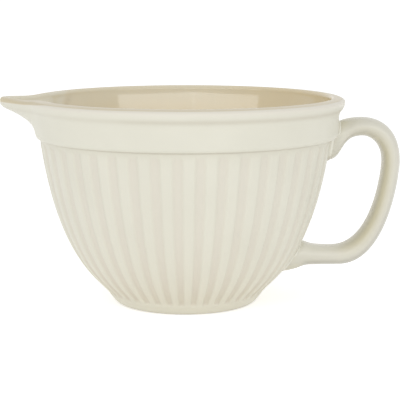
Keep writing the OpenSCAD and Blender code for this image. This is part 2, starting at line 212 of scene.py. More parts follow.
# Olive cream of glaze thick beside the hand hole and near the bowl, with painted shade there too
CREAM_GRIP_POOL_AND_SHADE = (0.71, 0.665, 0.495)
# Painted shade on the handle's outer side, strongest where it faces down, and beside the hand hole
CREAM_PAINTED_SHADE = (0.60, 0.58, 0.50)
CLAY = (0.62, 0.53, 0.42)
TAN = (0.78, 0.68, 0.465)
TAN_DEEP = (0.755, 0.65, 0.435)
TAN_THIN = (0.80, 0.765, 0.63)
# Dark tan of the glaze's edge and of its overrun on the rim, with a painted shadow where the spout's
# channel begins
TAN_EDGE_AND_SHADOW = (0.66, 0.58, 0.41)

# Roughness and refraction index of each glaze, and the depth of its ripples
CREAM_FINISH = (0.42, 1.38, 0.12 * MM)
HANDLE_FINISH = (0.26, 1.45, 0.12 * MM)
TAN_FINISH = (0.09, 1.6, 0.03 * MM)
WORN_ROUGHNESS = 0.3

# Noise in the glazes: cycles per metre and detail
CREAM_CLOUDS = (28, 2.0)
TAN_CLOUDS = (24, 3.0)
RIPPLES = (210, 3.0)
CLOUD_STOPS = (0.35, 0.7)
RIPPLE_STRENGTH = 0.35

# Sockets of a Mix node that mixes colours: factor, first and second colour, and its result
MIX_INPUTS = (0, 6, 7)
MIX_OUTPUT = 2

# Where the bowl's cream glaze changes. Here and below, a pair of places is where a shade begins and
# where it is full; X runs from the spout, which is negative, to the handle.
SETTLE_H = 22.0 * MM
FOOT_PALE_SHARE = 0.55
FOOT_PALE_Z = (14.0 * MM, 5.0 * MM)
POOL_SHARE = 0.4
POOL_LOW_SHARE = 1.1
SETTLED_SHARE = 0.9
# The crease under the collar is darker from pooled glaze and painted shade; the cove under the roll is
# darker from painted shade alone
CREASE_SHADE_W = 1.3 * MM
COVE_SHADE_Z = BOWL_H - 7.5 * MM
COVE_SHADE_W = 1.6 * MM
COVE_SHADE_R = COLLAR_R - 1.0 * MM
COVE_SHADOW_SHARE = 0.42
COVE_SPOUT_SHADOW_SHARE = 0.2
COVE_SHADE_X = (-60.0 * MM, -20.0 * MM)
# Heights over which the roll's painted highlight comes in
ROLL_HIGHLIGHT_Z = (BOWL_H - 5.5 * MM, BOWL_H - 1.5 * MM)
BARE_Z = (0.35 * MM, 0.05 * MM)
BARE_R = 30.0 * MM

# How far the tan edge runs down outside the rim: by the handle, by the spout and at the spout's tip
OVERRUN_H = 0.85 * MM
OVERRUN_SIDE_H = 1.1 * MM
OVERRUN_TIP_H = 3.2 * MM
OVERRUN_SIDE_X = (-20.0 * MM, -60.0 * MM)
OVERRUN_TIP_X = (-85.0 * MM, -107.0 * MM)
OVERRUN_BLUR = 0.6 * MM

# Where the tan glaze changes: thin under the rim, thinner past the line where the spout's channel begins,
# with a painted shadow along that line, and worn at its edge, on mesh rows that are counted from there
THIN_SHARE = 0.55
THIN_Z = (BOWL_H - 26.0 * MM, BOWL_H - 4.0 * MM)
THIN_X = (80.0 * MM, 0.0)
CHANNEL_LINE_X = 78.0 * MM
CHANNEL_LINE_SLANT = 0.36
CHANNEL_LINE_Z = (BOWL_H - 26.0 * MM, BOWL_H - 18.0 * MM)
# Painted shadow along the start of the spout's channel: heights where it fades out towards the rim, its
# strength and width
CHANNEL_SHADOW_FADE_Z = (BOWL_H - 1.5 * MM, BOWL_H - 8.5 * MM)
CHANNEL_SHADOW_SHARE = 0.75
CHANNEL_SHADOW_W = 1.5 * MM
SPOUT_THIN_SHARE = 0.9
SPOUT_THIN_W = 4.0 * MM
WORN_ROWS = (15.4, 8.4)

# Where the handle's glaze changes, and where shade and light are painted on it, along its run from the
# nearer pad. A pair of sides is counted from 1 on the outer side of the loop to -1 on the side of the
# hand.
# Glaze thick beside the hand hole and on the outer side near the bowl, with painted shade there too
FILLED_LOWER = (22.0 * MM, 56.0 * MM)
FILLED_UPPER = (5.0 * MM, 25.0 * MM)
FILLED_SIDE = (0.35, -0.8)
NEAR_LOWER_SHARE = 0.75
NEAR_UPPER_SHARE = 0.35
NEAR_RUN = 34.0 * MM
NEAR_SIDE = (0.2, 0.9)
# Painted shade on the outer side, strongest where it faces down, and beside the hand hole
TURN_LEVEL_SHARE = 0.25
TURN_DOWN_SHARE = 1.0
TURN_RUN = (4.0 * MM, 14.0 * MM)
TURN_SIDE = (0.05, 0.55)
TURN_HAND_SHARE = 0.6
TURN_HAND_SIDE = (-0.55, -0.95)
# Painted shade on the upper run's hand side, near its crown
CROWN_SHADE_SHARE = 0.75
CROWN_SHADE_AT = 20.0 * MM
CROWN_SHADE_RUN = 20.0 * MM
CROWN_SHADE_SIDE = (0.15, -0.45)
# Painted light: the lower run's hand side is painted lighter near the bowl
LOWER_RUN_LIGHT_SHARE = 0.5
LOWER_RUN_LIGHT_RUN = 50.0 * MM
LOWER_RUN_LIGHT_POWER = 4
LOWER_RUN_LIGHT_SIDE = (0.1, -0.35)
# Glaze pooled under the low end of each pad, with a painted shadow there too
CONTACT_SHARES = (0.8, 0.95)
CONTACT_RUN = 1.8 * MM
LEAST_RING_H = 1.0 * MM

# Camera: measured from the photograph's rim, collar and foot curves
CAMERA_DISTANCE = 900 * MM
CAMERA_HEIGHT = 209.8 * MM
CAMERA_SIDE = 9.6 * MM
CAMERA_PITCH = math.radians(8.99)
OBJECT_TURN = math.radians(2.0)
LENS = 122.96
SENSOR_W = 36.0

# Studio: the plain light, and the floor's glow on the object and to the camera. Each soft box has a
# name, and a place and width in degrees round the bowl, where 0 is the front and 90 the handle's side.
# Their height span is in degrees too, and their level is their brightness, where white paper is 1.
WORLD_LEVEL = 0.72
FLOOR_GLOW = 0.14
FLOOR_LIFT = 0.45
PAPER = 0.92
FLOOR_HALF = 30.0
LAMPS = (("box_left", -38, 57), ("box_right", 25, 65))
LAMP_LEVEL = 2.1
LAMP_DISTANCE = 1.6
LAMP_ELEVATION = math.radians(19.5)
LAMP_HEIGHT_SPAN = 9


def eased(s):
    """Smooth step from 0 to 1."""
    c = np.clip(s, 0, 1)
    return c * c * (3 - 2 * c)


def rise(value, start, full):
    """Smooth step of a value: 0 at start and 1 at full, which may lie on either side of it."""
    return eased((value - start) / (full - start))


def bell(value, width):
    """1 where a value is 0, and less on both sides."""
    return np.exp(-((value / width) ** 2))


def mix(a, b, s):
    """Between a, where s is 0, and b, where s is 1."""
    return a + (b - a) * s


def cubic(points, s):
    """Points at s on the cubic curve with these four points."""
    s = np.atleast_1d(s)[:, None]
    c = 1 - s
    p = [np.asarray(q, float) for q in points]
    return c**3 * p[0] + 3 * s * c * c * p[1] + 3 * s * s * c * p[2] + s**3 * p[3]


def cubic_slope(points, s):
    """Direction of that curve at s."""
    s = np.atleast_1d(s)[:, None]
    c = 1 - s
    p = [np.asarray(q, float) for q in points]
    return c * c * (p[1] - p[0]) + 2 * s * c * (p[2] - p[1]) + s * s * (p[3] - p[2])


def rounded(before, corner, after, radius, steps):
    """Points of the arc that rounds a corner of an outline."""
    corner = np.array(corner)
    u = np.array(before) - corner
    v = np.array(after) - corner
    u /= np.linalg.norm(u)
    v /= np.linalg.norm(v)
    half = math.acos(np.clip(u @ v, -1, 1)) / 2
    reach = radius / math.tan(half)
    centre = corner + (u + v) / np.linalg.norm(u + v) * radius / math.sin(half)
    first = corner + u * reach - centre
    last = corner + v * reach - centre
    start = math.atan2(first[1], first[0])
    end = math.atan2(last[1], last[0])
    end += 2 * math.pi * round((start - end) / (2 * math.pi))
    angles = np.linspace(start, end, steps)
    return centre + radius * np.c_[np.cos(angles), np.sin(angles)]


def wall_points():
    """The four points of the wall's outer curve."""
    span = WALL_TOP - WALL_FOOT
    return [WALL_FOOT, *(WALL_FOOT + span * arm for arm in WALL_ARMS), WALL_TOP]


def foot_outline():
    """Outline from the middle of the hollow under the foot to the start of the fluted wall."""
    rest_out = FOOT_R - FOOT_ROUND
    rest_in = rest_out - FOOT_REST_W
    middle = (0.0, FOOT_HOLLOW_H)
    hollow = (rest_in - FOOT_SLOPE_W, FOOT_HOLLOW_H)
    inner = (rest_in, 0.0)
    outer = (rest_out, 0.0)
    side = [outer, (rest_out + FOOT_SIDE_ARM, 0.0), WALL_FOOT - FOOT_TOP_ARM, WALL_FOOT]
    return np.vstack(
        [
            [[share * rest_in, FOOT_HOLLOW_H] for share in FOOT_HOLLOW_SHARES],
            rounded(middle, hollow, inner, FOOT_HOLLOW_ROUND, FOOT_HOLLOW_STEPS),
            rounded(hollow, inner, outer, FOOT_REST_ROUND, FOOT_REST_STEPS),
            cubic(side, np.linspace(0, 1, FOOT_SIDE_STEPS))[:-1],
        ]
    )


def roll_point(angle, depth):
    """Points on the rolled rim at these angles, a depth below the glaze's surface."""
    across = np.where(np.cos(angle) > 0, ROLL_OUT, ROLL_IN) - depth
    height = np.where(np.sin(angle) < 0, ROLL_UNDER, ROLL_H) - depth
    return ROLL_C + np.c_[across * np.cos(angle), height * np.sin(angle)]


def collar_outline():
    """Outline from the top of the fluted wall over the collar, cove and roll to the glaze's edge."""
    corner_in = (WALL_TOP[0] + CREASE_IN, COLLAR_UNDER_Z)
    corner_out = (COLLAR_R, COLLAR_UNDER_Z)
    face_end = (COLLAR_R, BOWL_H)
    roll = roll_point(np.linspace(ROLL_START, GLAZE_EDGE, ROLL_STEPS), 0)
    cove_z = roll[0, 1] - COVE_H
    face_z = COLLAR_UNDER_Z + COLLAR_EDGE_R
    cove = [
        (COLLAR_R, cove_z),
        (COLLAR_R, cove_z + COVE_ARMS[0] * COVE_H),
        roll[0] + COVE_ARMS[1] * COVE_H * np.array([math.sin(ROLL_START), -math.cos(ROLL_START)]),
        roll[0],
    ]
    return np.vstack(
        [
            rounded(WALL_TOP, corner_in, corner_out, CREASE_R, CREASE_STEPS),
            rounded(corner_in, corner_out, face_end, COLLAR_EDGE_R, COLLAR_EDGE_STEPS),
            [[COLLAR_R, mix(face_z, cove_z, s)] for s in np.linspace(0, 1, COLLAR_FACE_STEPS)[1:-1]],
            cubic(cove, np.linspace(0, 1, COVE_STEPS)),
            roll[1:],
        ]
    )


def spout_rise(z, lift):
    """How much of the spout's reach a height has."""
    height = SPOUT_FULL_Z - SPOUT_ROOT_Z - lift / 2
    return eased(np.clip((z - SPOUT_ROOT_Z - lift) / height, 0, 1) ** SPOUT_RISE_POWER)


def nose_rounded(u):
    """Size of an angle from the spout's middle, with a round start instead of a corner at 0."""
    return np.sqrt(u * u + NOSE_ANGLE**2) - NOSE_ANGLE


def spout_shift(points, columns, reach, lift):
    """Spins an outline round the axis and pulls its spout out; returns rows of columns of points, which
    crowd together in the spout."""
    level = points[:, 1:]
    turned = np.arange(columns) * 2 * math.pi / columns - math.pi
    crowding = CROWD_SHARE * rise(level, WALL_TOP[1], WALL_TOP[1] + SPOUT_DROP / 2)
    u = turned * (1 - crowding * bell(turned, CROWD_ANGLE))
    risen = spout_rise(level, lift)
    half = SPOUT_HALF_ANGLE * (1 - SPOUT_ROOT_NARROW * (1 - risen))
    place = np.minimum(1, nose_rounded(u) / nose_rounded(half))
    r = points[:, :1] + np.reshape(reach, (-1, 1)) * risen * (1 - place) ** SPOUT_TAPER_POWER
    z = level - SPOUT_DIP * risen * np.sin(math.pi * place) ** 2
    return np.stack([-r * np.cos(u), -r * np.sin(u), z + 0 * r], axis=2)


def pinched(rows):
    """Draws the collar's low face in under the spout, where the photograph shows it slanting."""
    radius = np.hypot(rows[..., 0], rows[..., 1])
    away = np.arctan2(np.abs(rows[..., 1]), -rows[..., 0])
    low = rise(rows[..., 2], COLLAR_UNDER_Z + PINCH_H, COLLAR_UNDER_Z)
    outward = np.clip((radius - WALL_TOP[0]) / (COLLAR_R - WALL_TOP[0]), 0, 1)
    pinch = PINCH * bell(away, PINCH_ANGLE) * low * outward
    return rows * np.stack([1 - pinch / radius, 1 - pinch / radius, 1 + 0 * pinch], axis=2)


def lip_reach(angle):
    """How far a point of the roll moves out at the spout's tip, where the lip is thinner than it."""
    inner = np.where(np.cos(angle) > 0, ROLL_OUT - LIP_OUT, ROLL_IN - SPOUT_LIP_T + LIP_OUT)
    return SPOUT_REACH + ROLL_OUT - LIP_OUT - inner * np.cos(angle)


def handle_heights():
    """Heights of the handle's top, underside, outermost line and pads."""
    top = BOWL_H - HANDLE_DROP
    base = top - HANDLE_H
    upper_mid = top - UPPER_PAD_SINK_SHARE * UPPER_PAD_H - UPPER_PAD_H / 2
    lower_top = base + HANDLE_BASE_T + LOWER_PAD_RISE_SHARE * LOWER_PAD_H
    return top, base, base + HANDLE_MID_SHARE * HANDLE_H, upper_mid, lower_top - LOWER_PAD_H / 2


def pad_cover(y, z):
    """1 under the handle's pads, where the wall has no flutes, fading to 0 round them."""
    _, _, _, upper, lower = handle_heights()
    cover = 0
    for middle, height in ((upper, UPPER_PAD_H), (lower, LOWER_PAD_H)):
        far = np.hypot(y / (PAD_W / 2 + PAD_MARGIN), (z - middle) / (height / 2 + PAD_MARGIN))
        cover = np.maximum(cover, rise(far, *PAD_COVER_SHARES))
    return cover


def flute_share(angles, r, z):
    """Share of the full flute depth at each point of the wall: slots with round tops."""
    arc_len = PITCH * r
    aside = np.abs((angles / PITCH - FLUTE_TURN_SHARE) % 1 - 0.5) * arc_len
    half = FLUTE_HALF_SHARE * arc_len
    above = np.maximum(half - (FLUTE_TOP_Z - z), 0)
    away = np.hypot(aside, above) - half
    slope = FLUTE_SLOPE_SHARE * arc_len
    return eased(0.5 - away / slope) * eased((z - FOOT_BAND_H) / FLUTE_RUN_OUT)


def fluted_rows(points):
    """Rows of points of the fluted wall, and the share of flute depth at each."""
    angles = np.arange(OUTER_COLUMNS) * 2 * math.pi / OUTER_COLUMNS
    r = points[:, :1] + 0 * angles
    z = points[:, 1:] + 0 * angles
    cover = np.where(np.cos(angles) > 0, pad_cover(r * np.sin(angles), z), 0)
    share = flute_share(angles, r, z) * (1 - cover)
    r = r - FLUTE_DEEP * share
    return np.stack([r * np.cos(angles), r * np.sin(angles), z], axis=2), share


def inside_rows(depth):
    """Rows of points of the inside, from the glaze's edge over the roll and down to the floor, and the
    floor's height; the rows lie a depth below the glaze's surface."""
    wall_shares = np.linspace(*INSIDE_WALL_SHARES, INSIDE_WALL_STEPS)
    slope = cubic_slope(wall_points(), wall_shares)
    slope /= np.linalg.norm(slope, axis=1)[:, None]
    wall = cubic(wall_points(), wall_shares) + (WALL_T - depth) * np.c_[-slope[:, 1], slope[:, 0]]
    start = roll_point(np.array([math.pi]), depth)[0]
    turn = [start, start - [0, SHOULDER_TURN_H], mix(wall[0], start, SHOULDER_ARM), wall[0]]
    shoulder = cubic(turn, np.linspace(0, 1, SHOULDER_STEPS)[1:-1])
    floor_z = FLOOR_Z - depth
    edge = wall[-1]
    floor_curve = [edge, *((arm * edge[0], floor_z) for arm in FLOOR_ARMS), (0.0, floor_z)]
    floor = cubic(floor_curve, np.linspace(0, 1, FLOOR_STEPS)[1:-1])
    roll = np.linspace(GLAZE_EDGE, math.pi, INSIDE_ROLL_STEPS)
    lifts = SPOUT_FLOOR_T * rise(roll, math.pi / 2, math.pi)
    rows = [
        spout_shift(roll_point(angle, depth), INNER_COLUMNS, lip_reach(angle), lift)
        for angle, lift in zip(roll[:, None], lifts)
    ]
    rows.append(spout_shift(shoulder, INNER_COLUMNS, lip_reach(math.pi), SPOUT_FLOOR_T))
    rows.append(spout_shift(np.vstack([wall, floor]), INNER_COLUMNS, 0.0, 0.0))
    return np.vstack(rows), floor_z


def band(a, na, b, nb):
    """Faces between two rings of points that start at a and b, where na equals nb or is twice nb."""
    i = np.arange(nb)
    j = (i + 1) % nb
    if na == nb:
        return [(a + p, b + p, b + q, a + q) for p, q in zip(i, j)]
    middle = 2 * i + 1
    end = (2 * i + 2) % na
    faces = [(a + 2 * p, b + p, a + m) for p, m in zip(i, middle)]
    faces += [(a + m, b + p, b + q) for p, q, m in zip(i, j, middle)]
    faces += [(a + m, b + q, a + e) for q, m, e in zip(j, middle, end)]
    return faces


def lofted(rings, clockwise):
    """Vertices and faces through rings of points; a ring of one point closes an end. The faces look out
    of the solid: clockwise says whether the rings, seen from the first one, turn that way."""
    starts = np.cumsum([0] + [len(r) for r in rings])
    faces = []
    for k in range(len(rings) - 1):
        na = len(rings[k])
        nb = len(rings[k + 1])
        a = int(starts[k])
        b = int(starts[k + 1])
        if na == 1:
            faces += [(a, b + i, b + (i + 1) % nb) for i in range(nb)]
        elif nb == 1:
            faces += [(a + i, b, a + (i + 1) % na) for i in range(na)]
        else:
            faces += band(a, na, b, nb)
    if clockwise:
        faces = [face[::-1] for face in faces]
    return np.vstack(rings), faces


def on_axis(z):
    """A ring of one point on the bowl's axis."""
    return np.array([[0, 0, z]])


def make_mesh(name, vertices, faces, material, attributes):
    """A smooth-shaded object on the root body, with a value at each vertex for each attribute."""
    mesh = bpy.data.meshes.new(name)
    mesh.from_pydata(vertices.tolist(), [], [tuple(int(i) for i in f) for f in faces])
    mesh.shade_smooth()
    mesh.set_sharp_from_angle(angle=SHARP_ANGLE)
    for key, values in attributes:
        layer = mesh.attributes.new(key, "FLOAT", "POINT")
        layer.data.foreach_set("value", np.asarray(values, dtype=np.float32))
    mesh.materials.append(material)
    piece = bpy.data.objects.new(name, mesh)
    bpy.context.scene.collection.objects.link(piece)
    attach(piece, "root")
    return piece


def add_node(tree, kind, **inputs):
    """A node with values on its inputs; an underscore stands for the space in an input's name."""
    node = tree.nodes.new(kind)
    for key, value in inputs.items():
        node.inputs[key.replace("_", " ")].default_value = value
    return node


def noise(tree, scale, detail):
    """Noise in the object's own space; scale is in cycles per metre."""
    place = tree.nodes.new("ShaderNodeTexCoord")
    node = add_node(tree, "ShaderNodeTexNoise", Scale=scale, Detail=detail)
    tree.links.new(place.outputs["Object"], node.inputs["Vector"])
    return node.outputs["Fac"]


def attribute(tree, name):
    """The value that the mesh has at each vertex under this name."""
    node = tree.nodes.new("ShaderNodeAttribute")
    node.attribute_name = name
    return node.outputs["Fac"]


def clouded(tree, clouds, first, second):
    """Two colours that drift into each other over the surface."""
    node = tree.nodes.new("ShaderNodeValToRGB")
    for element, place, colour in zip(node.color_ramp.elements, CLOUD_STOPS, (first, second)):
        element.position = place
        element.color = (*colour, 1)
    tree.links.new(noise(tree, *clouds), node.inputs["Fac"])
    return node.outputs["Color"]


def shaded(tree, colour, shades):
    """A colour with others laid over it in turn, each where the attribute of its name is 1."""
    for name, shade in shades:
        layer = tree.nodes.new("ShaderNodeMix")
        layer.data_type = "RGBA"
        amount, under, over = (layer.inputs[k] for k in MIX_INPUTS)
        tree.links.new(attribute(tree, name), amount)
        tree.links.new(colour, under)
        over.default_value = (*shade, 1)
        colour = layer.outputs[MIX_OUTPUT]
    return colour


def cream_colour(tree):
    """Cream glaze, warmer in the flutes, tan by the liner, bare clay under the foot, with a painted
    highlight on the roll's top, pooled glaze and painted shade in the crease, and painted shade in the
    cove.
    """
    shades = (
        ("low", CREAM_LOW),
        ("roll", CREAM_ROLL_HIGHLIGHT),
        ("pool", CREAM_THICK),
        ("settled", CREAM_SETTLED),
        ("crease", CREAM_POOLED_AND_SHADED),
        ("bare", CLAY),
        ("overrun", TAN_EDGE_AND_SHADOW),
    )
    return shaded(tree, clouded(tree, CREAM_CLOUDS, CREAM, CREAM_PALE), shades)


def handle_colour(tree):
    """The handle's cream glaze, thicker where it runs together, with painted shade there and on its
    down-facing outer side, painted light on the lower run, and thin with a painted highlight on the
    slip's ridge.
    """
    shades = (
        ("thin_and_lit", CREAM_THIN_AND_LIT),
        ("pool", CREAM_GRIP_POOL_AND_SHADE),
        ("turn", CREAM_PAINTED_SHADE),
        ("crease", CREAM_POOLED_AND_SHADED),
    )
    return shaded(tree, clouded(tree, CREAM_CLOUDS, CREAM_HANDLE, CREAM), shades)


def tan_colour(tree):
    """Tan glaze, thinner and paler towards the rim and in the spout, darker at its edge, with a painted
    shadow where the spout's channel begins.
    """
    shades = (("thin_and_lit", TAN_THIN), ("edge", TAN_EDGE_AND_SHADOW))
    return shaded(tree, clouded(tree, TAN_CLOUDS, TAN_DEEP, TAN), shades)


def glaze(name, colour_of, roughness, shine, ripple, worn_roughness=None):
    """A glassy stoneware glaze: colour_of builds its colour, shine is its refraction index, and ripple is
    the depth of its soft unevenness. Where the attribute worn is 1 it has the worn roughness."""
    material = bpy.data.materials.new(name)
    material.use_nodes = True
    tree = material.node_tree
    shader = tree.nodes["Principled BSDF"]
    shader.inputs["Roughness"].default_value = roughness
    shader.inputs["IOR"].default_value = shine
    if worn_roughness is not None:
        spread = add_node(tree, "ShaderNodeMapRange", To_Min=roughness, To_Max=worn_roughness)
        tree.links.new(attribute(tree, "worn"), spread.inputs["Value"])
        tree.links.new(spread.outputs["Result"], shader.inputs["Roughness"])
    tree.links.new(colour_of(tree), shader.inputs["Base Color"])
    bump = add_node(tree, "ShaderNodeBump", Strength=RIPPLE_STRENGTH, Distance=ripple)
    tree.links.new(noise(tree, *RIPPLES), bump.inputs["Height"])
    tree.links.new(bump.outputs["Normal"], shader.inputs["Normal"])
    return material


def bowl_shades(vertices, grooves, share):
    """How strong each shade of the cream glaze is at each vertex of the bowl; grooves are the vertices of
    the fluted wall, and share is their share of the flute depth."""
    x, _, z = vertices.T
    radius = np.hypot(vertices[:, 0], vertices[:, 1])
    low = np.exp(-z / SETTLE_H) * (1 - FOOT_PALE_SHARE * rise(z, *FOOT_PALE_Z))
    pool = np.zeros(len(vertices))
    pool[grooves] = share.ravel() * (POOL_SHARE + POOL_LOW_SHARE * low[grooves])
    # Pooled glaze and painted shade in the crease under the collar, and painted shade in the cove under
    # the roll
    from_crease = np.hypot(radius - (WALL_TOP[0] + CREASE_R), z - COLLAR_UNDER_Z)
    cove = bell(z - COVE_SHADE_Z, COVE_SHADE_W) * (radius > COVE_SHADE_R)
    cove = cove * mix(COVE_SPOUT_SHADOW_SHARE, COVE_SHADOW_SHARE, rise(x, *COVE_SHADE_X))
    line = mix(OVERRUN_H, OVERRUN_SIDE_H, rise(x, *OVERRUN_SIDE_X))
    line = mix(line, OVERRUN_TIP_H, rise(x, *OVERRUN_TIP_X))
    return (
        ("low", low),
        # Painted highlight on the roll's top
        ("roll", rise(z, *ROLL_HIGHLIGHT_Z)),
        ("pool", pool),
        ("settled", SETTLED_SHARE * pool * low),
        ("crease", bell(from_crease, CREASE_SHADE_W) + cove),
        ("bare", rise(z, *BARE_Z) * (radius > BARE_R)),
        ("overrun", eased((line - (BOWL_H - z)) / OVERRUN_BLUR + 0.5)),
    )


def make_bowl(material):
    """The clay body: foot, fluted wall, collar, roll and spout, and the inside under the tan glaze."""
    foot = foot_outline()
    low_wall = np.linspace(0, WALL_LOW_SHARE, WALL_LOW_STEPS)
    high_wall = np.linspace(WALL_LOW_SHARE, 1, WALL_STEPS)[1:]
    walls, share = fluted_rows(cubic(wall_points(), np.r_[low_wall, high_wall]))
    collar = collar_outline()
    foot_rows = spout_shift(foot, OUTER_COLUMNS, 0.0, 0.0)
    angle = np.arctan2((collar[:, 1] - ROLL_C[1]) / ROLL_H, (collar[:, 0] - ROLL_C[0]) / ROLL_OUT)
    reach = lip_reach(np.maximum(angle, 0))
    collar_rows = pinched(spout_shift(collar, INNER_COLUMNS, reach, 0.0))
    inner, floor_z = inside_rows(LINER_T)
    rings = [on_axis(foot[0, 1]), *foot_rows, *walls, *collar_rows, *inner, on_axis(floor_z)]
    vertices, faces = lofted(rings, clockwise=True)
    first = 1 + foot_rows.shape[0] * OUTER_COLUMNS
    values = bowl_shades(vertices, slice(first, first + share.size), share)
    piece = make_mesh("bowl_body_fine", vertices, faces, material, values)
    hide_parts("bowl_body")


def liner_shades(vertices, rows, columns):
    """How thin, dark at its edge and worn the tan glaze is at each vertex of the liner, whose upper face
    has these rows and columns; the dark edge includes a painted shadow along the start of the spout's
    channel."""
    x, _, z = vertices.T
    upper = rise(z, *CHANNEL_LINE_Z)
    past_channel_line = -x - CHANNEL_LINE_X - CHANNEL_LINE_SLANT * (BOWL_H - z)
    thin_and_lit = THIN_SHARE * rise(z, *THIN_Z) * rise(x, *THIN_X)
    thin_and_lit = np.maximum(thin_and_lit, SPOUT_THIN_SHARE * upper * rise(past_channel_line, 0.0, SPOUT_THIN_W))
    # Painted shadow along the line where the spout's channel begins
    channel_shadow = CHANNEL_SHADOW_SHARE * upper * rise(z, *CHANNEL_SHADOW_FADE_Z) * bell(past_channel_line, CHANNEL_SHADOW_W)
    by_rim = np.repeat(rise(np.arange(rows), *WORN_ROWS), columns)
    worn = np.r_[np.zeros(1 + rows * columns), by_rim, 0]
    return (("thin_and_lit", thin_and_lit), ("edge", np.maximum(channel_shadow, worn)), ("worn", worn))


def make_liner(material):
    """The tan glaze of the inside, with its edge just over the rim's crest."""
    under, under_z = inside_rows(LINER_T)
    top, top_z = inside_rows(0.0)
    rings = [on_axis(under_z), *under[::-1], *top, on_axis(top_z)]
    vertices, faces = lofted(rings, clockwise=True)
    values = liner_shades(vertices, *top.shape[:2])
    piece = make_mesh("liner_glaze_fine", vertices, faces, material, values)
    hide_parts("liner_glaze")


def outer_radius(z):
    """Radius of the bowl's outside at a height up to the collar's face, without flutes."""
    wall = cubic(wall_points(), np.linspace(0, 1, OUTLINE_STEPS))
    outline = np.vstack([wall, collar_outline()])
    outline = outline[: np.argmax(outline[:, 1] > COLLAR_FACE_Z)]
    return np.interp(z, outline[:, 1], outline[:, 0])


def on_wall(y, z, lift):
    """Points on the bowl's outside at these sideways places and heights, lifted off it."""
    r = outer_radius(z) + lift
    return np.stack([np.sqrt(r * r - y * y), y, z], axis=-1)


def armed(a, b, leave, arrive):
    """Cubic curve from a to b, with its arms as shares of the distance in X and Z."""
    a = np.array(a)
    b = np.array(b)
    return [a, a + (b - a) * leave, b + (a - b) * arrive, b]


def handle_lines():
    """The handle's outer and inner outlines in the XZ plane, from the upper pad to the lower one."""
    top, base, mid, upper, lower = handle_heights()
    out_x = COLLAR_R + HANDLE_REACH
    crown_x = COLLAR_R + CROWN_SHARE * HANDLE_REACH
    run_x = [COLLAR_R + share * HANDLE_REACH for share in RUN_SHARES]
    ends = [
        (outer_radius(z), z)
        for middle, half in ((upper, UPPER_PAD_H / 2), (lower, LOWER_PAD_H / 2))
        for z in (middle + half, middle - half)
    ]
    outer = [ends[0], (crown_x, top), (out_x, mid), (run_x[0], base), ends[3]]
    inner = [
        ends[1],
        (crown_x, top - HANDLE_TOP_T),
        (out_x - GRIP_T, mid),
        (run_x[1], base + HANDLE_BASE_T),
        ends[2],
    ]
    return [
        [armed(line[k], line[k + 1], *arms[k]) for k in range(len(arms))]
        for line, arms in ((outer, OUTER_ARMS), (inner, INNER_ARMS))
    ]


def superellipse():
    """Points round the handle's section, where its half sizes are 1."""
    turn = np.arange(HANDLE_SIDES) * 2 * math.pi / HANDLE_SIDES
    power = 2 / GRIP_POWER
    return [np.sign(part) * np.abs(part) ** power for part in (np.cos(turn), np.sin(turn))]


def handle_rings():
    """Rings of points along the handle, its first and last ones on the bowl's wall, and how far each ring
    is from the nearer end."""
    outer, inner = handle_lines()
    _, _, _, upper, lower = handle_heights()
    unit_x, unit_y = superellipse()
    places = [np.linspace(0, 1, n + 1) for n in HANDLE_STEPS]
    places[1:] = [place[1:] for place in places[1:]]
    out_line = np.vstack([cubic(curve, place) for curve, place in zip(outer, places)])
    in_line = np.vstack([cubic(curve, place) for curve, place in zip(inner, places)])
    centre = (out_line + in_line) / 2
    run = np.r_[0, np.cumsum(np.linalg.norm(np.diff(centre, axis=0), axis=1))]
    from_end = np.minimum(run, run[-1] - run)
    widths = GRIP_W + (PAD_W - GRIP_W) * bell(from_end, PAD_FLARE)
    rings = []
    for middle, half, width in zip(centre, (out_line - in_line) / 2, widths):
        x = middle[0] + half[0] * unit_x
        z = middle[1] + half[1] * unit_x
        rings.append(np.c_[x, width / 2 * unit_y, z])
    shifts = []
    for ring, middle, height, sign in ((0, upper, UPPER_PAD_H, 1), (-1, lower, LOWER_PAD_H, -1)):
        z = middle + sign * (height / 2 - SLIP_ON_WALL) * unit_x
        pad = on_wall((PAD_W / 2 - SLIP_ON_WALL) * unit_y, z, -PAD_BED)
        shifts.append(pad - rings[ring])
    for k, ring in enumerate(rings):
        near_upper = (1 - min(run[k] / PAD_BLEND, 1)) ** 2
        near_lower = (1 - min((run[-1] - run[k]) / PAD_BLEND, 1)) ** 2
        ring += shifts[0] * near_upper + shifts[1] * near_lower
    return rings, from_end


def contact_pool_and_shadow(rings, from_end):
    """Where the glaze has run together dark under the low end of each pad, with a painted shadow there
    too.
    """
    shares = []
    for ring, far in zip(rings, from_end):
        below = (ring[:, 2].max() - ring[:, 2]) / max(np.ptp(ring[:, 2]), LEAST_RING_H)
        shares.append(rise(below, *CONTACT_SHARES) * bell(far, CONTACT_RUN))
    return np.array(shares)


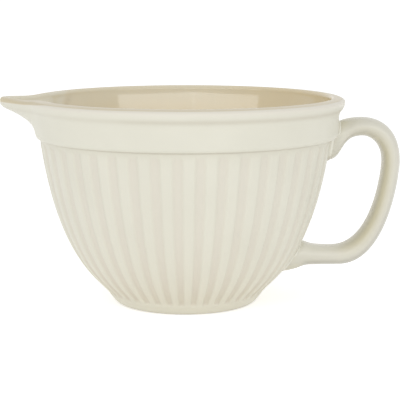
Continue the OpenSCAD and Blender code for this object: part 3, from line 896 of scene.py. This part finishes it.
def handle_shades(rings, from_end):
    """How strong each shade of the handle's glaze is, with a row for each ring. The glaze is thick on the
    side of the hand hole and on the outer side near the bowl, with painted shade there too, painted shade
    where the outer side faces down, and painted light on the lower run's hand side."""
    side = np.cos(np.arange(HANDLE_SIDES) * 2 * math.pi / HANDLE_SIDES)
    far = from_end[:, None]
    lower = np.arange(len(rings))[:, None] > len(rings) // 2
    filled = np.where(lower, rise(far, *FILLED_LOWER), rise(far, *FILLED_UPPER))
    near = np.where(lower, NEAR_LOWER_SHARE, NEAR_UPPER_SHARE) * bell(far, NEAR_RUN)
    pool = filled * rise(side, *FILLED_SIDE) + near * rise(side, *NEAR_SIDE)
    across = np.array([ring[0] - ring[HANDLE_SIDES // 2] for ring in rings])
    down = np.clip(-across[:, 2] / np.linalg.norm(across, axis=1), 0, 1)[:, None]
    outer = mix(TURN_LEVEL_SHARE, TURN_DOWN_SHARE, down) * rise(far, *TURN_RUN)
    # Painted shade on the outer side, strongest where it faces down, and beside the hand hole
    turned = outer * rise(side, *TURN_SIDE)
    turned = turned + TURN_HAND_SHARE * filled * rise(side, *TURN_HAND_SIDE)
    crown = np.where(lower, 0, CROWN_SHADE_SHARE * bell(far - CROWN_SHADE_AT, CROWN_SHADE_RUN))
    turned = np.maximum(turned, crown * rise(side, *CROWN_SHADE_SIDE))
    # Painted light on the lower run's hand side
    lower_run_light = np.where(lower, LOWER_RUN_LIGHT_SHARE * np.exp(-((far / LOWER_RUN_LIGHT_RUN) ** LOWER_RUN_LIGHT_POWER)), 0)
    return (
        ("thin_and_lit", lower_run_light * rise(side, *LOWER_RUN_LIGHT_SIDE)),
        ("pool", pool),
        ("turn", turned),
        ("crease", contact_pool_and_shadow(rings, from_end)),
    )


def make_handle(material):
    """The loop handle, its pads shaped to the wall and the collar."""
    rings, from_end = handle_rings()
    first, last = (ring.mean(axis=0)[None] - [[HANDLE_END_IN, 0, 0]] for ring in (rings[0], rings[-1]))
    vertices, faces = lofted([first, *rings, last], clockwise=False)
    shades = handle_shades(rings, from_end)
    values = [(name, np.r_[0, share.ravel(), 0]) for name, share in shades]
    piece = make_mesh("handle_fine", vertices, faces, material, values)
    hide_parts("handle")


def fillet(rings, middle, height):
    """Round bead of slip between the wall and the side of a pad; rings start on the wall."""
    ring = rings[0]
    along = np.cumsum([np.linalg.norm(b - a, axis=1) for a, b in zip(rings[:-1], rings[1:])], axis=0)
    side = np.empty_like(ring)
    for i in range(len(ring)):
        k = int(np.argmax(along[:, i] > SLIP_ON_PAD))
        side[i] = rings[k + 1][i]
    away = np.c_[ring[:, 1] / PAD_W**2, (ring[:, 2] - middle) / height**2]
    away /= np.linalg.norm(away, axis=1)[:, None]
    spot = ring[:, 1:] + SLIP_ON_WALL * away
    wall = on_wall(spot[:, 0], spot[:, 1], -SLIP_BED)
    corner = on_wall(ring[:, 1], ring[:, 2], 0.0)
    bulge = mix(corner, wall + side - corner, SLIP_BULGE)
    curve = []
    for s in np.linspace(0, 1, SLIP_STEPS):
        curve.append((1 - s) ** 2 * wall + 2 * s * (1 - s) * bulge + s * s * side)
    curve.append(corner - [[SLIP_BACK, 0, 0]])
    return curve


def make_slip(material):
    """The slip beads round both pads, with a painted highlight along their crests."""
    rings, _ = handle_rings()
    _, _, _, upper, lower = handle_heights()
    beads = []
    faces = []
    for ends, middle, height in ((rings, upper, UPPER_PAD_H), (rings[::-1], lower, LOWER_PAD_H)):
        curve = fillet(ends[:PAD_RINGS], middle, height)
        base = sum(len(ring) for ring in beads)
        n = len(curve[0])
        for k in range(len(curve)):
            faces += band(base + k * n, n, base + ((k + 1) % len(curve)) * n, n)
        beads += curve
    # Pooled glaze and painted shadow under the pads' low ends, and a painted highlight along each bead's
    # crest
    shares = contact_pool_and_shadow(beads, np.zeros(len(beads)))
    across = np.sin(math.pi * np.linspace(0, 1, SLIP_STEPS)) ** 2
    thin_and_lit = np.tile(np.r_[across, 0], 2)[:, None] * (1 - shares)
    values = (("thin_and_lit", thin_and_lit.ravel()), ("crease", shares.ravel()))
    piece = make_mesh("handle_slip_fine", np.vstack(beads), faces, material, values)
    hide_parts("handle_slip")


def white_for_camera(tree, plain, white):
    """Shows one shader to lit surfaces and another to the camera, reflections and glass."""
    path = tree.nodes.new("ShaderNodeLightPath")
    seen = path.outputs["Is Camera Ray"]
    for name in ("Is Glossy Ray", "Is Transmission Ray"):
        add = tree.nodes.new("ShaderNodeMath")
        add.operation = "MAXIMUM"
        tree.links.new(seen, add.inputs[0])
        tree.links.new(path.outputs[name], add.inputs[1])
        seen = add.outputs[0]
    chooser = tree.nodes.new("ShaderNodeMixShader")
    tree.links.new(seen, chooser.inputs[0])
    tree.links.new(plain, chooser.inputs[1])
    tree.links.new(white, chooser.inputs[2])
    return chooser.outputs[0]


def make_world():
    """Plain white studio: level light on the object, white behind it."""
    world = bpy.data.worlds.new("studio")
    bpy.context.scene.world = world
    world.use_nodes = True
    tree = world.node_tree
    plain = tree.nodes["Background"]
    plain.inputs["Color"].default_value = (1, 1, 1, 1)
    plain.inputs["Strength"].default_value = WORLD_LEVEL
    white = add_node(tree, "ShaderNodeBackground", Color=(1, 1, 1, 1), Strength=1.0)
    shown = white_for_camera(tree, plain.outputs[0], white.outputs[0])
    tree.links.new(shown, tree.nodes["World Output"].inputs["Surface"])


def floor_paper():
    """Pale paper that glows a little on the object, and more to the camera."""
    material = bpy.data.materials.new("floor_paper")
    material.use_nodes = True
    tree = material.node_tree
    tree.nodes.remove(tree.nodes["Principled BSDF"])
    paper = add_node(tree, "ShaderNodeBsdfDiffuse", Color=(PAPER, PAPER, PAPER, 1))
    sides = []
    for strength in (FLOOR_GLOW, FLOOR_LIFT):
        glow = add_node(tree, "ShaderNodeEmission", Color=(1, 1, 1, 1), Strength=strength)
        lifted = tree.nodes.new("ShaderNodeAddShader")
        tree.links.new(paper.outputs[0], lifted.inputs[0])
        tree.links.new(glow.outputs[0], lifted.inputs[1])
        sides.append(lifted.outputs[0])
    shown = white_for_camera(tree, *sides)
    tree.links.new(shown, tree.nodes["Material Output"].inputs["Surface"])
    return material


def make_floor():
    """Pale floor that keeps the bowl's soft shadow."""
    mesh = bpy.data.meshes.new("floor")
    corners = [(x * FLOOR_HALF, y * FLOOR_HALF, 0) for x, y in ((-1, -1), (1, -1), (1, 1), (-1, 1))]
    mesh.from_pydata(corners, [], [(0, 1, 2, 3)])
    mesh.materials.append(floor_paper())
    floor = bpy.data.objects.new("floor", mesh)
    bpy.context.scene.collection.objects.link(floor)


def make_lamp(name, azimuth, span):
    """A soft box that faces the bowl, with its place and width in degrees."""
    turn = math.radians(azimuth)
    lamp = bpy.data.lights.new(name, "AREA")
    lamp.shape = "RECTANGLE"
    lamp.size = 2 * LAMP_DISTANCE * math.tan(math.radians(span / 2))
    lamp.size_y = 2 * LAMP_DISTANCE * math.tan(math.radians(LAMP_HEIGHT_SPAN / 2))
    lamp.energy = LAMP_LEVEL * math.pi * lamp.size * lamp.size_y
    holder = bpy.data.objects.new(name, lamp)
    holder.visible_camera = False
    beside = LAMP_DISTANCE * math.cos(LAMP_ELEVATION)
    above = LAMP_DISTANCE * math.sin(LAMP_ELEVATION)
    holder.location = (beside * math.sin(turn), -beside * math.cos(turn), above + BOWL_H / 2)
    holder.rotation_euler = (math.pi / 2 - LAMP_ELEVATION, 0, turn)
    bpy.context.scene.collection.objects.link(holder)


def make_camera():
    """The photograph's camera. The bowl stands turned there, so here the camera turns the other way."""
    data = bpy.data.cameras.new("camera")
    data.lens = LENS
    data.sensor_width = SENSOR_W
    camera = bpy.data.objects.new("camera", data)
    c = math.cos(OBJECT_TURN)
    s = math.sin(OBJECT_TURN)
    x = CAMERA_SIDE
    y = -CAMERA_DISTANCE
    camera.location = (x * c + y * s, y * c - x * s, CAMERA_HEIGHT)
    camera.rotation_euler = (math.pi / 2 - CAMERA_PITCH, 0, -OBJECT_TURN)
    bpy.context.scene.collection.objects.link(camera)
    bpy.context.scene.camera = camera


bpy.context.scene.view_settings.view_transform = "Standard"
make_camera()
make_world()
make_floor()
for lamp_name, lamp_azimuth, lamp_span in LAMPS:
    make_lamp(lamp_name, lamp_azimuth, lamp_span)

cream_glaze = glaze("cream_glaze", cream_colour, *CREAM_FINISH)
handle_glaze = glaze("cream_glaze_handle", handle_colour, *HANDLE_FINISH)
tan_glaze = glaze("tan_glaze", tan_colour, *TAN_FINISH, WORN_ROUGHNESS)
make_bowl(cream_glaze)
make_liner(tan_glaze)
make_handle(handle_glaze)
make_slip(handle_glaze)
